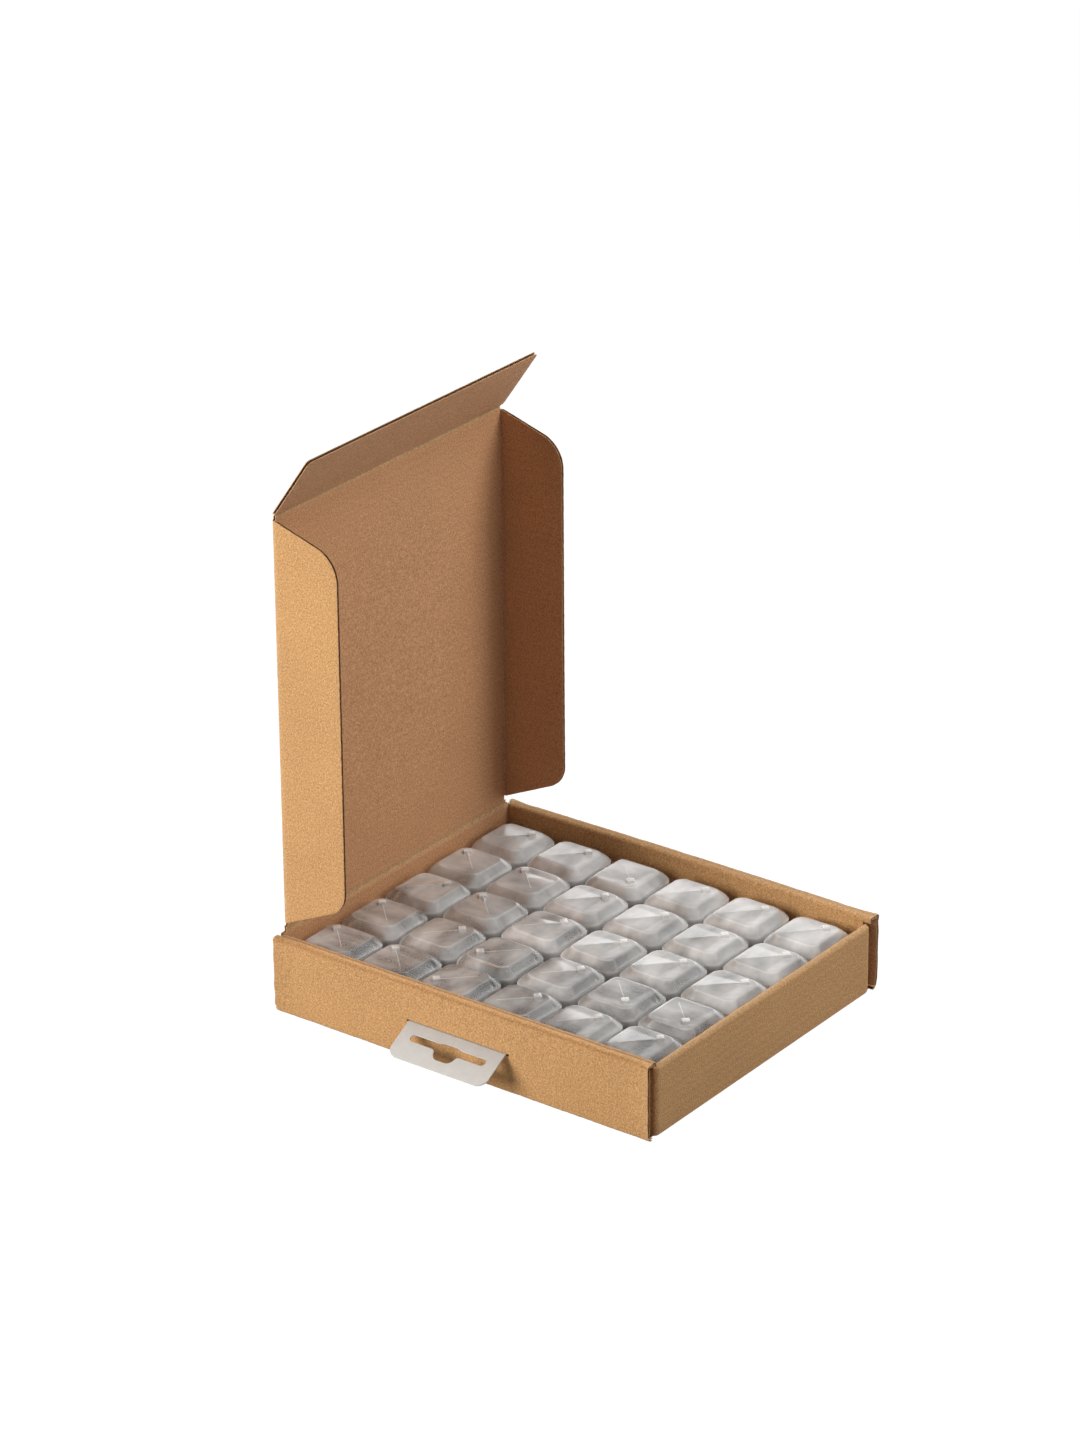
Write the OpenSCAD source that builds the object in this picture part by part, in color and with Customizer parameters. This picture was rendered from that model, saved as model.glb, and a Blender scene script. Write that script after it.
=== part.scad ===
/* Kraft mailer carton for thirty small clear cases.
   The tray, lid, wings and tuck flap are panels of one creased board blank.
   X runs left to right, Y front to back, Z up.  The origin is the middle of
   the tray's underside, and the lid stands straight up at its back crease. */

/* [Board] */
// Thickness of the corrugated board
board = 1.4; // [1.0:0.1:2.0]
// Running gap between a folding panel and what it folds against
play = 0.25; // [0.2:0.05:0.6]
// Clearance of a flap inside its pocket, and of a locking tab in its slot
flap_play = 0.1; // [0.05:0.05:0.3]
// Bead of a crease to the edge of the panel that turns on it
crease_gap = 0.3; // [0.25:0.05:0.5]

/* [Tray] */
// Clear headroom between the cases and the closed lid
headroom = 4.5; // [2.4:0.1:12]
// Ends of the corner flaps to the hang tab's glued plate
flap_end_gap = 10; // [2:1:30]
// Radius of the rolled top edge of the side walls
side_roll_r = 1.2; // [0.6:0.1:1.8]
// Radius of the rolled top edge of the front wall
front_roll_r = 1.4; // [0.8:0.1:1.5]
// Hollow left inside the doubled front wall
front_hollow = 0.2; // [0.1:0.1:1.0]
// Width of a locking tab at the foot of an inner wall panel
tab_w = 14; // [8:1:24]
// Radius of the creased bottom edges
foot_r = 0.9; // [0.3:0.1:1.0]

/* [Lid] */
// Floor to the wings' edges when the lid is shut
wing_floor_gap = 1.5; // [0.4:0.1:8]
// Hinge crease to where the wings begin
wing_start = 2.4; // [2:0.1:8]
// Slope of the wing's edge beside the tuck flap
wing_slope_top = 17; // [5:1:35]
// Slope of the wing's edge beside the hinge crease
wing_slope_foot = 25; // [10:1:40]
// Radius of the wing's corner beside the tuck flap
wing_r_top = 12; // [6:1:12]
// Radius of the wing's corner beside the hinge crease
wing_r_foot = 10; // [5:1:12]
// Floor to the tuck flap's edge when it is tucked in
tuck_floor_gap = 0.4; // [0.3:0.1:8]
// How far the tuck flap leans in from the plane of the lid
tuck_lean = 35; // [20:1:40]
// Radius of the tuck flap's free corners
tuck_r = 2; // [1:0.5:6]
// Tuck flap's edge to the side wall it slides past
tuck_side_gap = 0.6; // [0.4:0.1:3]

/* [Hang tab] */
// Width of the plastic hang tab
hang_w = 41.5; // [36:1:60]
// How far the tab reaches from the slit
hang_len = 14.7; // [13:0.2:30]
// Thickness of the tab's sheet
hang_t = 0.5; // [0.3:0.1:0.6]
// Angle of the tab below level
hang_droop = 28; // [10:1:45]
// Radius of the tab's free corners
hang_r = 4; // [1:0.5:4.5]
// Length of the hanging slot
slot_w = 32; // [26:0.5:34]
// Height of the hanging slot
slot_h = 3; // [2.4:0.2:4]
// Slit to the middle of the hanging slot
slot_at = 5.6; // [4:0.25:6]
// Width of the hook notch in the middle of the slot
notch_w = 9; // [6:0.5:12]
// Slit to the bottom of the hook notch
notch_at = 10.7; // [9:0.2:11.4]
// Reach of the hidden glued plate below the slit
anchor_len = 11; // [6:0.5:12]
// Extra width of the glued plate on each side of the slit
anchor_side = 4; // [1:0.5:8]

/* [Cases] */
// Side of one square case
case_w = 24.4; // [20:0.1:32]
// Height of a case without its nub
case_h = 23.4; // [20:0.1:40]
// Gap between cases, side to side
gap_x = 0.7; // [0.5:0.1:3]
// Gap between cases, front to back
gap_y = 1.4; // [0.5:0.1:3]
// Cases to the walls at the back
case_play = 0.4; // [0.3:0.1:1]
// Case to the floor it stands on
seat_gap = 0.2; // [0.1:0.1:0.4]
// Corner radius of a case
case_r = 4.5; // [2:0.25:7]
// Wall of a case
case_wall = 0.8; // [0.5:0.1:1.2]
// Height of a case's cap above the joint
cap_h = 6.4; // [5:0.2:10]
// Width of the sloping shoulder round the cap's top
shoulder = 2.8; // [1:0.1:4]
// Height of the sloping shoulder
shoulder_h = 2.8; // [1:0.1:4]
// Depth of the cap's rim inside the cup
rim_d = 2; // [1:0.25:4]
// Clearance of the cap's rim in the cup
rim_play = 0.15; // [0.1:0.05:0.3]
// Side of the square nub on the cap
nub_w = 3; // [2:0.25:5]
// Height of the nub
nub_h = 1.8; // [0.5:0.1:2]
// Middle of the cap to the nub, measured along its diagonal
nub_at = 7; // [5:0.25:9]
// Width of the raised rib along the cap's diagonal
rib_w = 0.7; // [0.5:0.1:1.5]
// Height of that rib
rib_h = 0.35; // [0.2:0.05:0.8]

/* [Hidden] */

$fn = 48;
cols = 5;
rows = 6;
eps = 0.01;

// Board walls
pocket = board + 2 * flap_play;
side_t = 2 * board + pocket;
front_t = 2 * board + front_hollow;
fold_zone = board + 2 * play;

// Tray sizes follow from what it holds
cases_x = cols * case_w + (cols - 1) * gap_x;
cases_y = rows * case_w + (rows - 1) * gap_y;
tray_w = cases_x + 2 * (side_t + fold_zone);
tray_d = front_t + fold_zone + cases_y + case_play + board;
hw = tray_w / 2;
hd = tray_d / 2;
wall_h = board + seat_gap + case_h + headroom;

// What fits the height of the walls: flaps of the lid, and the slit
wing_d = wall_h - board / 2 - wing_floor_gap;
tuck_len = wall_h - board / 2 - tuck_floor_gap;
slit_z = wall_h / 2;
flap_len = hd - hang_w / 2 - anchor_side - flap_end_gap;

// Creases: half gap between two panels, bead and web of the living hinge
crease_s = board / 2 + 0.15;
bead_r = crease_s - crease_gap;
web_t = bead_r;

// Lid hinge line, lid length to the tuck crease, and the wings' crease lines
lid_y = hd - board / 2;
lid_z = wall_h + board / 2;
tuck_y = -hd + front_t + play + board / 2;
lid_len = lid_y - tuck_y;
wing_x = hw - side_t - play - board / 2;
tuck_hw = hw - side_t - tuck_side_gap;

// The front wall stops just under the leaning tuck flap when the lid is shut
lean_reach = front_t + play + board / 2 - front_roll_r;
front_drop = (sin(tuck_lean) * lean_reach + board / 2 + crease_gap + front_roll_r)
    / cos(tuck_lean) - board / 2 - front_roll_r;
front_h = wall_h - front_drop;

// Corner folds, where a cross wall turns into its hidden flap
fold_r = board + 0.5;
fold_x = hw - board - flap_play - fold_r;

// Cases
pitch_x = case_w + gap_x;
pitch_y = case_w + gap_y;
first_x = -(cols - 1) / 2 * pitch_x;
first_y = -hd + front_t + fold_zone + case_w / 2;
case_z = board + seat_gap;
cup_h = case_h - cap_h;
hang_x = -hw - hang_t / 2 - play;

// Which way the nub of each case points, in quarter turns from back right.
// Rows run from the front, columns from the left.
nub_turn = [
    [3, 2, 3, 3, 3],
    [3, 2, 3, 3, 3],
    [3, 3, 3, 3, 3],
    [1, 1, 3, 3, 2],
    [0, 3, 0, 0, 3],
    [0, 0, 3, 0, 3]];

// ---- helpers -------------------------------------------------------------

// Extrudes an outline drawn in X and Z along Y.
module along_y(y0, y1) {
    translate([0, y1, 0]) rotate([90, 0, 0]) linear_extrude(y1 - y0) children();
}

// Extrudes an outline drawn in Y and Z along X.
module along_x(x0, x1) {
    translate([x0, 0, 0]) rotate([90, 0, 90]) linear_extrude(x1 - x0) children();
}

// A box between two corners.
module block(a, b) {
    translate(a) cube(b - a);
}

// A rectangle from the origin with its two upper corners rounded.
module round_top(w, h, r) {
    square([w, h - r]);
    translate([r, 0]) square([w - 2 * r, h]);
    intersection() {
        for (x = [r, w - r]) translate([x, h - r]) circle(r);
        square([w, h]);
    }
}

// A rounded square centred on the origin.
module round_square(w, r) {
    square([w, w - 2 * r], center = true);
    square([w - 2 * r, w], center = true);
    for (sx = [-1, 1], sy = [-1, 1])
        translate([sx * (w / 2 - r), sy * (w / 2 - r)]) circle(r);
}

// Cross-section of a board wall rolled over on itself, hollow underneath.
module rolled_wall(t, h, hollow, r) {
    difference() {
        round_top(t, h, r);
        translate([board, -eps]) square([hollow, h - board + eps]);
    }
}

// Bead and web of a living hinge along the line from the origin up Z.  The
// web reaches back to the fixed panel along the direction -Y.
module crease_bead(length) {
    cylinder(h = length, r = bead_r);
    translate([-web_t / 2, -crease_s, 0]) cube([web_t, crease_s, length]);
}

// ---- tray ----------------------------------------------------------------

// Slots in the floor for the locking tabs, or the tabs themselves.
module lock_tabs(grow, z0, z1) {
    half = tab_w / 2 + grow;
    inner = hw - side_t;
    for (side = [-1, 1], y = [-hd / 2, hd / 2]) {
        x0 = side > 0 ? inner : -inner - board;
        block([x0 - grow, y - half, z0], [x0 + board + grow, y + half, z1]);
    }
    front = -hd + front_t - board;
    for (x = [-hw / 2, hw / 2])
        block([x - half, front - grow, z0], [x + half, front + board + grow, z1]);
}

module floor_outline(half) {
    translate([-half, board]) mirror([0, 1]) round_top(2 * half, board, foot_r);
}

module base_panel() {
    color("#b98f5f")
    difference() {
        intersection() {
            along_y(-hd, hd) floor_outline(hw);
            along_x(-hw, hw) floor_outline(hd);
        }
        lock_tabs(flap_play, -eps, board + eps);
    }
}

module side_wall() {
    inner = hw - side_t;
    tab_z = flap_play;
    difference() {
        union() {
            along_y(-hd, hd)
                translate([-hw, board]) rolled_wall(side_t, wall_h - board, pocket, side_roll_r);
            intersection() {
                lock_tabs(0, tab_z, board + eps);
                block([-hw, -hd, 0], [-inner + eps, hd, board + eps]);
            }
        }
        // room for the front wall and the folds at its ends
        block([-hw + board, -hd - eps, 0],
              [-inner + eps, -hd + front_t + flap_play, front_h + flap_play]);
        // room for the back wall
        block([-hw + board, hd - board - flap_play, 0],
              [-inner + eps, hd + eps, wall_h + eps]);
    }
}

// The slit in the outer panel that the hang tab comes through.
module slit() {
    block([-hw - eps, -hang_w / 2 - flap_play, slit_z - hang_t / 2 - flap_play],
          [-hw + board + eps, hang_w / 2 + flap_play, slit_z + hang_t / 2 + flap_play]);
}

module left_wall() {
    color("#c9a06c") difference() { side_wall(); slit(); }
}

module right_wall() {
    color("#c9a06c") mirror([1, 0, 0]) side_wall();
}

module front_wall() {
    inner = hw - side_t;
    color("#a67f55") {
        difference() {
            along_x(-fold_x, fold_x)
                translate([-hd, board])
                    rolled_wall(front_t, front_h - board, front_hollow, front_roll_r);
            // the inner panel only spans between the side walls
            for (side = [-1, 1])
                block([side > 0 ? inner : -fold_x - eps, -hd + board, 0],
                      [side > 0 ? fold_x + eps : -inner, -hd + front_t + eps,
                       front_h - board]);
        }
        intersection() {
            lock_tabs(0, flap_play, board + eps);
            block([-inner, -hd, 0], [inner, -hd + front_t, board + eps]);
        }
    }
}

module back_wall() {
    top = lid_z - crease_s;
    color("#a67f55") {
        block([-fold_x, hd - board, board], [fold_x, hd, top]);
        // crease that the lid turns on
        translate([-wing_x, lid_y, lid_z]) rotate([90, 0, 90])
            linear_extrude(2 * wing_x) {
                circle(bead_r);
                translate([-web_t / 2, -crease_s]) square([web_t, crease_s]);
            }
    }
}

// A hidden flap: a quarter fold off the end of a cross wall, then a panel
// that runs back inside the pocket of the side wall.  Drawn for front left.
module corner_flap(top) {
    translate([-fold_x, -hd + fold_r, board]) {
        difference() {
            intersection() {
                cylinder(h = top - board, r = fold_r);
                block([-fold_r, -fold_r, 0], [0, 0, top]);
            }
            translate([0, 0, -eps]) cylinder(h = top + eps, r = fold_r - board);
        }
        block([-fold_r, 0, 0], [board - fold_r, flap_len - fold_r, top - board]);
    }
}

flap_top_front = front_h - board - flap_play;
flap_top_back = wall_h - board - flap_play;

module front_left_flap() {
    color("#8a6844") corner_flap(flap_top_front);
}
module front_right_flap() {
    color("#8a6844") mirror([1, 0, 0]) corner_flap(flap_top_front);
}
module back_left_flap() {
    color("#8a6844") mirror([0, 1, 0]) corner_flap(flap_top_back);
}
module back_right_flap() {
    color("#8a6844") mirror([1, 0, 0]) mirror([0, 1, 0]) corner_flap(flap_top_back);
}

// ---- lid -----------------------------------------------------------------

module lid_panel() {
    z0 = lid_z + crease_s;
    z1 = lid_z + lid_len - crease_s;
    color("#a5825f") {
        block([crease_s - wing_x, hd - board, z0], [wing_x - crease_s, hd, z1]);
        // creases of the two wings
        for (side = [-1, 1])
            translate([side * wing_x, lid_y, z0])
                rotate([0, 0, side > 0 ? -90 : 90]) crease_bead(z1 - z0);
        // crease of the tuck flap
        translate([crease_s - wing_x, lid_y, z1 + crease_s])
            rotate([90, 0, 90]) crease_bead(2 * (wing_x - crease_s));
    }
}

// Outline of a wing: x is its depth from the crease, y runs along the lid.
module wing_outline() {
    top_y = lid_len - crease_s - crease_gap;
    d = wing_d;
    rt = wing_r_top;
    rf = wing_r_foot;
    // middles of the two rounded corners
    ct = [d - rt, top_y - (d - rt) * tan(wing_slope_top) - rt / cos(wing_slope_top)];
    cf = [d - rf, wing_start + (d - rf) * tan(wing_slope_foot) + rf / cos(wing_slope_foot)];
    polygon([
        [crease_s, wing_start + crease_s * tan(wing_slope_foot)],
        cf + rf * [sin(wing_slope_foot), -cos(wing_slope_foot)],
        cf,
        cf + [rf, 0],
        ct + [rt, 0],
        ct,
        ct + rt * [sin(wing_slope_top), cos(wing_slope_top)],
        [crease_s, top_y - crease_s * tan(wing_slope_top)]]);
    translate(ct) intersection() {
        circle(rt);
        square(rt);
    }
    translate(cf) intersection() {
        circle(rf);
        translate([0, -rf]) square(rf);
    }
}

module wing() {
    translate([wing_x - board / 2, lid_y, lid_z]) rotate([90, 0, -90])
        mirror([0, 0, 1]) linear_extrude(board) wing_outline();
}

module lid_left_wing() {
    color("#d9b177") mirror([1, 0, 0]) wing();
}
module lid_right_wing() {
    color("#7a5632") wing();
}

// Places the tuck flap's own plane: x across, z out from the crease.
module at_tuck() {
    translate([0, lid_y, lid_z + lid_len]) rotate([tuck_lean, 0, 0]) children();
}

module tuck_flap() {
    color("#a5825f") at_tuck() translate([0, board / 2, 0]) rotate([90, 0, 0])
        linear_extrude(board)
            translate([-tuck_hw, crease_s])
                round_top(2 * tuck_hw, tuck_len - crease_s, tuck_r);
}

// ---- hang tab ------------------------------------------------------------

module hang_slot() {
    for (side = [-1, 1])
        translate([side * (slot_w - slot_h) / 2, slot_at]) circle(slot_h / 2);
    translate([-(slot_w - slot_h) / 2, slot_at - slot_h / 2]) square([slot_w - slot_h, slot_h]);
    notch_r = notch_w / 3;
    translate([-notch_w / 2, slot_at]) square([notch_w, notch_at - slot_at - notch_r]);
    for (side = [-1, 1])
        translate([side * (notch_w / 2 - notch_r), notch_at - notch_r]) circle(notch_r);
    translate([notch_r - notch_w / 2, slot_at])
        square([notch_w - 2 * notch_r, notch_at - slot_at]);
}

module hang_tab() {
    start = hang_t / 2 + crease_gap;
    color("#dcd9d2")
    translate([hang_x, 0, slit_z]) rotate([0, -hang_droop, 0])
        translate([0, 0, -hang_t / 2]) rotate([0, 0, 90])
            linear_extrude(hang_t) difference() {
                translate([-hang_w / 2, start])
                    round_top(hang_w, hang_len - start, hang_r);
                hang_slot();
            }
}

// The glued half of the tab, inside the wall's pocket, with the lip that
// comes out through the slit and carries the tab's crease.
module hang_tab_anchor() {
    half = hang_w / 2 + anchor_side;
    x_in = -hw + board;
    color("#c9c6bf") {
        block([x_in, -half, slit_z - anchor_len], [x_in + hang_t, half, slit_z + hang_t / 2]);
        block([hang_x, -hang_w / 2, slit_z - hang_t / 2],
              [x_in + eps, hang_w / 2, slit_z + hang_t / 2]);
        translate([hang_x, -hang_w / 2, slit_z]) rotate([-90, 0, 0])
            cylinder(h = hang_w, r = hang_t / 2);
    }
}

// ---- cases ---------------------------------------------------------------

// Solid outline of a case top: a rounded square cut by four sloping planes.
module shouldered(w, r, h, z0) {
    half = w / 2;
    profile = [[-half, z0], [half, z0], [half, h - shoulder_h],
               [half - shoulder, h], [shoulder - half, h], [-half, h - shoulder_h]];
    intersection() {
        translate([0, 0, z0]) linear_extrude(h - z0) round_square(w, r);
        along_y(-half, half) polygon(profile);
        along_x(-half, half) polygon(profile);
    }
}

module cup() {
    inner = case_w - 2 * case_wall;
    difference() {
        linear_extrude(cup_h) round_square(case_w, case_r);
        translate([0, 0, case_wall])
            linear_extrude(cup_h) round_square(inner, case_r - case_wall);
    }
}

// The cap, from the joint up, with the rim that plugs into the cup, a nub
// to pull it by and a rib along its diagonal.
module cap() {
    inner = case_w - 2 * case_wall;
    plug = inner - 2 * rim_play;
    difference() {
        union() {
            shouldered(case_w, case_r, cap_h, rim_play);
            translate([0, 0, -rim_d])
                linear_extrude(rim_d + 2 * rim_play)
                    round_square(plug, case_r - case_wall - rim_play);
        }
        shouldered(inner - 2 * rim_play - case_wall, case_r - case_wall - rim_play,
                   cap_h - case_wall, -rim_d - eps);
    }
    rotate([0, 0, 45]) {
        translate([nub_at - nub_w / 2, -nub_w / 2, cap_h - eps])
            cube([nub_w, nub_w, nub_h + eps]);
        translate([-nub_at - nub_w, -rib_w / 2, cap_h - eps])
            cube([2 * nub_at + nub_w, rib_w, rib_h + eps]);
    }
}

// Puts a case's own shape at its place in the tray, row and column from 1.
module at_case(row, col) {
    translate([first_x + (col - 1) * pitch_x, first_y + (row - 1) * pitch_y, case_z])
        rotate([0, 0, 90 * nub_turn[row - 1][col - 1]]) children();
}

// Cases of the front row carry their caps as pieces of their own.
module case_body(row, col) {
    color("#d8d8d6") at_case(row, col) {
        cup();
        if (row > 1) translate([0, 0, cup_h]) cap();
    }
}

module case_cap(col) {
    color("#e4e4e2") at_case(1, col) translate([0, 0, cup_h]) cap();
}

// ---- nodes ---------------------------------------------------------------

base_panel();
back_wall();
front_wall();
left_wall();
right_wall();
front_left_flap();
front_right_flap();
back_left_flap();
back_right_flap();
lid_panel();
lid_left_wing();
lid_right_wing();
tuck_flap();
hang_tab();
hang_tab_anchor();
for (row = [1:rows], col = [1:cols])
    case_body(row, col);
for (col = [1:cols])
    case_cap(col);
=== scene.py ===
import math

import bpy
import numpy as np
from mathutils import Matrix, Vector


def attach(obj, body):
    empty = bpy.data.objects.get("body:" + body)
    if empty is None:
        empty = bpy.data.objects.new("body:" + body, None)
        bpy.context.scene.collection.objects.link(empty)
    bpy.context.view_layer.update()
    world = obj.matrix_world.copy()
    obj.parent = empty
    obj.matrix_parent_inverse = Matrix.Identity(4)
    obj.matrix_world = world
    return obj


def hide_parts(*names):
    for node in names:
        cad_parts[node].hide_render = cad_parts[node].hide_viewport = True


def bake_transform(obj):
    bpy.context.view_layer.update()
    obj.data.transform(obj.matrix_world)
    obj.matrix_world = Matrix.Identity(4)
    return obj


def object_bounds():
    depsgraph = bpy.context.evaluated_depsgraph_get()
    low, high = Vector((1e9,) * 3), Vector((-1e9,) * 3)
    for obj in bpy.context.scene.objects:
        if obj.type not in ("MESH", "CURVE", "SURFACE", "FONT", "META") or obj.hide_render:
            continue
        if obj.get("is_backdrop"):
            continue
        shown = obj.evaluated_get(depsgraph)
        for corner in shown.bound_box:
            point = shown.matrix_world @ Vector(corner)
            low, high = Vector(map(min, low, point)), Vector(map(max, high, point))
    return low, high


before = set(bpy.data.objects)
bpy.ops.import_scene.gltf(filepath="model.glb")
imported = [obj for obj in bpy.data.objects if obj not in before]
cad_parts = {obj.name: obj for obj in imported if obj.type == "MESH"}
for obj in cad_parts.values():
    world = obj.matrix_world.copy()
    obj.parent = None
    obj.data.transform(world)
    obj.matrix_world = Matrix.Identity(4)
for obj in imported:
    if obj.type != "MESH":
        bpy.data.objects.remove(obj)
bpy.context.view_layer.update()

# ---- kraft paper -------------------------------------------------------------
# The colours and fibres of the carton's papers: one shared pattern, then the
# smooth outer liner, the duller inner liner and the darker fluting between them,
# its dark tint partly its own paper and partly painted shade of its hollow cells.


def add(nodes, kind, **inputs):
    """One shader node of that kind with constants set on its sockets by name."""
    node = nodes.new(kind)
    for key, value in inputs.items():
        node.inputs[key].default_value = value
    return node


def feed(tree, node, values, first=0):
    """Feeds the node's inputs in order from the first, each from a socket or with a constant."""
    for socket, value in zip(node.inputs[first:], values):
        if isinstance(value, bpy.types.NodeSocket):
            tree.links.new(value, socket)
        else:
            socket.default_value = value


def blend_colours(tree, mode, factor, a, b):
    """Colour mix of the two inputs in that mode. Each input is a socket or a constant."""
    node = tree.nodes.new("ShaderNodeMix")
    node.data_type = "RGBA"
    node.blend_type = mode
    feed(tree, node, [factor])
    feed(tree, node, [a, b], 6)
    return node.outputs[2]


def maths(tree, operation, a, b=0.0, c=0.0, clamp=False):
    """Result of one maths node. Each input is a socket or a number."""
    node = tree.nodes.new("ShaderNodeMath")
    node.operation = operation
    node.use_clamp = clamp
    feed(tree, node, [a, b, c])
    return node.outputs[0]


def noise(tree, vector, scale, detail=4.0, rough=0.6):
    """Value of a noise texture on that vector."""
    node = add(tree.nodes, "ShaderNodeTexNoise", Scale=scale, Detail=detail, Roughness=rough)
    tree.links.new(vector, node.inputs["Vector"])
    return node.outputs["Fac"]


def attribute(tree, name):
    """Vector that the mesh attribute of that name holds."""
    node = tree.nodes.new("ShaderNodeAttribute")
    node.attribute_name = name
    return node.outputs["Vector"]


def numbers(tree, vector):
    """The three numbers of a vector."""
    node = tree.nodes.new("ShaderNodeSeparateXYZ")
    tree.links.new(vector, node.inputs[0])
    return node.outputs


FLUTE = 3.2  # pitch of the board's flutes, mm


def swing(tree, value, amount, onto, clamp=False):
    """The value's swing about its middle, 0.5, times the amount, added to another value."""
    return maths(tree, "MULTIPLY_ADD", maths(tree, "SUBTRACT", value, 0.5), amount, onto, clamp)


def paper_group():
    """Node group of kraft paper: fibres that run across the flutes, pale and dark flecks,
    soft mottling, the faint washboard of the flutes as bump and as a faint painted shade in
    the colour, pale scuffed folds and edges, where the third number of "board" is above
    zero, and painted shade, darker brown, where it is below."""
    group = bpy.data.node_groups.new("kraft_paper", "ShaderNodeTree")
    face = group.interface
    face.new_socket("Tint", in_out="INPUT", socket_type="NodeSocketColor")
    for name in ("Flecks", "Washboard"):
        face.new_socket(name, in_out="INPUT", socket_type="NodeSocketFloat")
    face.new_socket("Color", in_out="OUTPUT", socket_type="NodeSocketColor")
    face.new_socket("Height", in_out="OUTPUT", socket_type="NodeSocketFloat")
    given, out = group.nodes.new("NodeGroupInput"), group.nodes.new("NodeGroupOutput")
    across, along, wear_and_painted_shade = numbers(group, attribute(group, "board"))
    place = group.nodes.new("ShaderNodeTexCoord").outputs["Object"]

    stretched = group.nodes.new("ShaderNodeCombineXYZ")
    group.links.new(maths(group, "MULTIPLY", across, 0.35), stretched.inputs[0])
    group.links.new(along, stretched.inputs[1])
    fibre = noise(group, stretched.outputs[0], 2600.0, 5.0, 0.7)
    pulp = noise(group, place, 1500.0, 4.0, 0.72)
    cloud = noise(group, place, 30.0, 4.0, 0.6)
    fleck = noise(group, place, 2200.0, 2.0, 0.5)
    pale = maths(group, "MULTIPLY", maths(group, "SUBTRACT", fleck, 0.60), 7.0, clamp=True)
    dark = maths(group, "MULTIPLY", maths(group, "SUBTRACT", 0.39, fleck), 8.0, clamp=True)
    ridge = maths(group, "SINE", maths(group, "MULTIPLY", across, 2000 * math.pi / FLUTE))
    ridge = maths(group, "MULTIPLY", ridge, given.outputs["Washboard"])

    shade = swing(group, fibre, 0.60, 1.0)
    shade = swing(group, pulp, 2.1, shade)
    shade = swing(group, cloud, 0.24, shade)
    # The washboard also shifts the colour a little: painted shade of the flutes' ridges, on top of the bump.
    shade = maths(group, "MULTIPLY_ADD", ridge, 0.012, shade)
    grey = group.nodes.new("ShaderNodeCombineColor")
    for socket in grey.inputs:
        group.links.new(shade, socket)
    colour = blend_colours(group, "MULTIPLY", 1.0, given.outputs["Tint"], grey.outputs[0])
    for mask, share, tint in ((pale, 0.50, (0.80, 0.60, 0.38, 1)), (dark, 0.55, (0.13, 0.07, 0.03, 1))):
        mask = maths(group, "MULTIPLY", maths(group, "MULTIPLY", mask, share), given.outputs["Flecks"])
        colour = blend_colours(group, "MIX", mask, colour, tint)
    patchy = maths(group, "MULTIPLY_ADD", pulp, 1.3, -0.10, clamp=True)
    scuff = maths(group, "MULTIPLY", wear_and_painted_shade, patchy, clamp=True)
    colour = blend_colours(group, "MIX", maths(group, "MULTIPLY", scuff, 0.55), colour, (0.72, 0.52, 0.33, 1))
    # Painted shade: below zero the third number of "board" multiplies the paper darker, on surfaces that get
    # little light.
    painted_shade = maths(group, "MULTIPLY", wear_and_painted_shade, -1.0, clamp=True)
    colour = blend_colours(group, "MULTIPLY", painted_shade, colour, (0.62, 0.50, 0.42, 1))
    group.links.new(colour, out.inputs["Color"])
    rise = maths(group, "MULTIPLY_ADD", fibre, 0.5, maths(group, "MULTIPLY", pulp, 0.6))
    group.links.new(maths(group, "MULTIPLY_ADD", ridge, 0.22, rise), out.inputs["Height"])
    return group


paper = paper_group()


def kraft(name, tint, flecks=1.0, washboard=1.0, rough=0.82):
    """Paper material: the kraft pattern as colour and bump, rough with a little sheen."""
    material = bpy.data.materials.new(name)
    material.use_nodes = True
    tree = material.node_tree
    surface = tree.nodes["Principled BSDF"]
    group = tree.nodes.new("ShaderNodeGroup")
    group.node_tree = paper
    group.inputs["Tint"].default_value = (*tint, 1)
    group.inputs["Flecks"].default_value = flecks
    group.inputs["Washboard"].default_value = washboard
    surface.inputs["Roughness"].default_value = rough
    surface.inputs["Specular IOR Level"].default_value = 0.22
    surface.inputs["Sheen Weight"].default_value = 0.08
    relief = add(tree.nodes, "ShaderNodeBump", Strength=0.30, Distance=0.00012)
    tree.links.new(group.outputs["Color"], surface.inputs["Base Color"])
    tree.links.new(group.outputs["Height"], relief.inputs["Height"])
    tree.links.new(relief.outputs["Normal"], surface.inputs["Normal"])
    return material


kraft_papers = [
    kraft("kraft_outer_liner", (0.520, 0.290, 0.124)),
    kraft("kraft_inner_liner", (0.550, 0.283, 0.137), washboard=1.5),
    # The fluting's near-black tint is partly painted shade: it stands in for the shade inside the flutes at
    # cut edges.
    kraft("kraft_fluting_painted_shade", (0.105, 0.055, 0.026), flecks=0.6, washboard=0.0, rough=0.9),
]

# ---- floor panel -------------------------------------------------------------
# The bottom of the tray: flat corrugated board with six slots for the locking
# tabs of the doubled walls. Its four sides are creased up into the walls.

BOARD = 1.4            # board thickness, mm
MID = BOARD / 2        # from a face of the board to its middle, mm
HW, HD = 68.7, 80.05   # half width and half depth of the tray, mm
SIDE = 4.4             # thickness of a doubled side wall, mm
FRONT = 3.0            # thickness of the doubled front wall, mm
SKIRT = 1.9            # from the outer face to where the floor panel stops at its creases, mm
TAB_HALF = 7.0         # half width of a locking tab, mm
PLAY = 0.1             # clearance of a locking tab in its slot, mm
FINE = FLUTE / 8       # spacing of grid points across the flutes, mm


def stations(low, high, step, marks=()):
    """Places from low to high: even steps, a few close to both ends, and every mark."""
    near = np.array([0.25, 0.7, 1.5])
    even = np.linspace(low, high, max(2, int(math.ceil((high - low) / step)) + 1))
    every = np.concatenate([even, low + near, high - near, np.asarray(marks, float)])
    return np.unique(np.round(every[(every >= low) & (every <= high)], 3))


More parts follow.
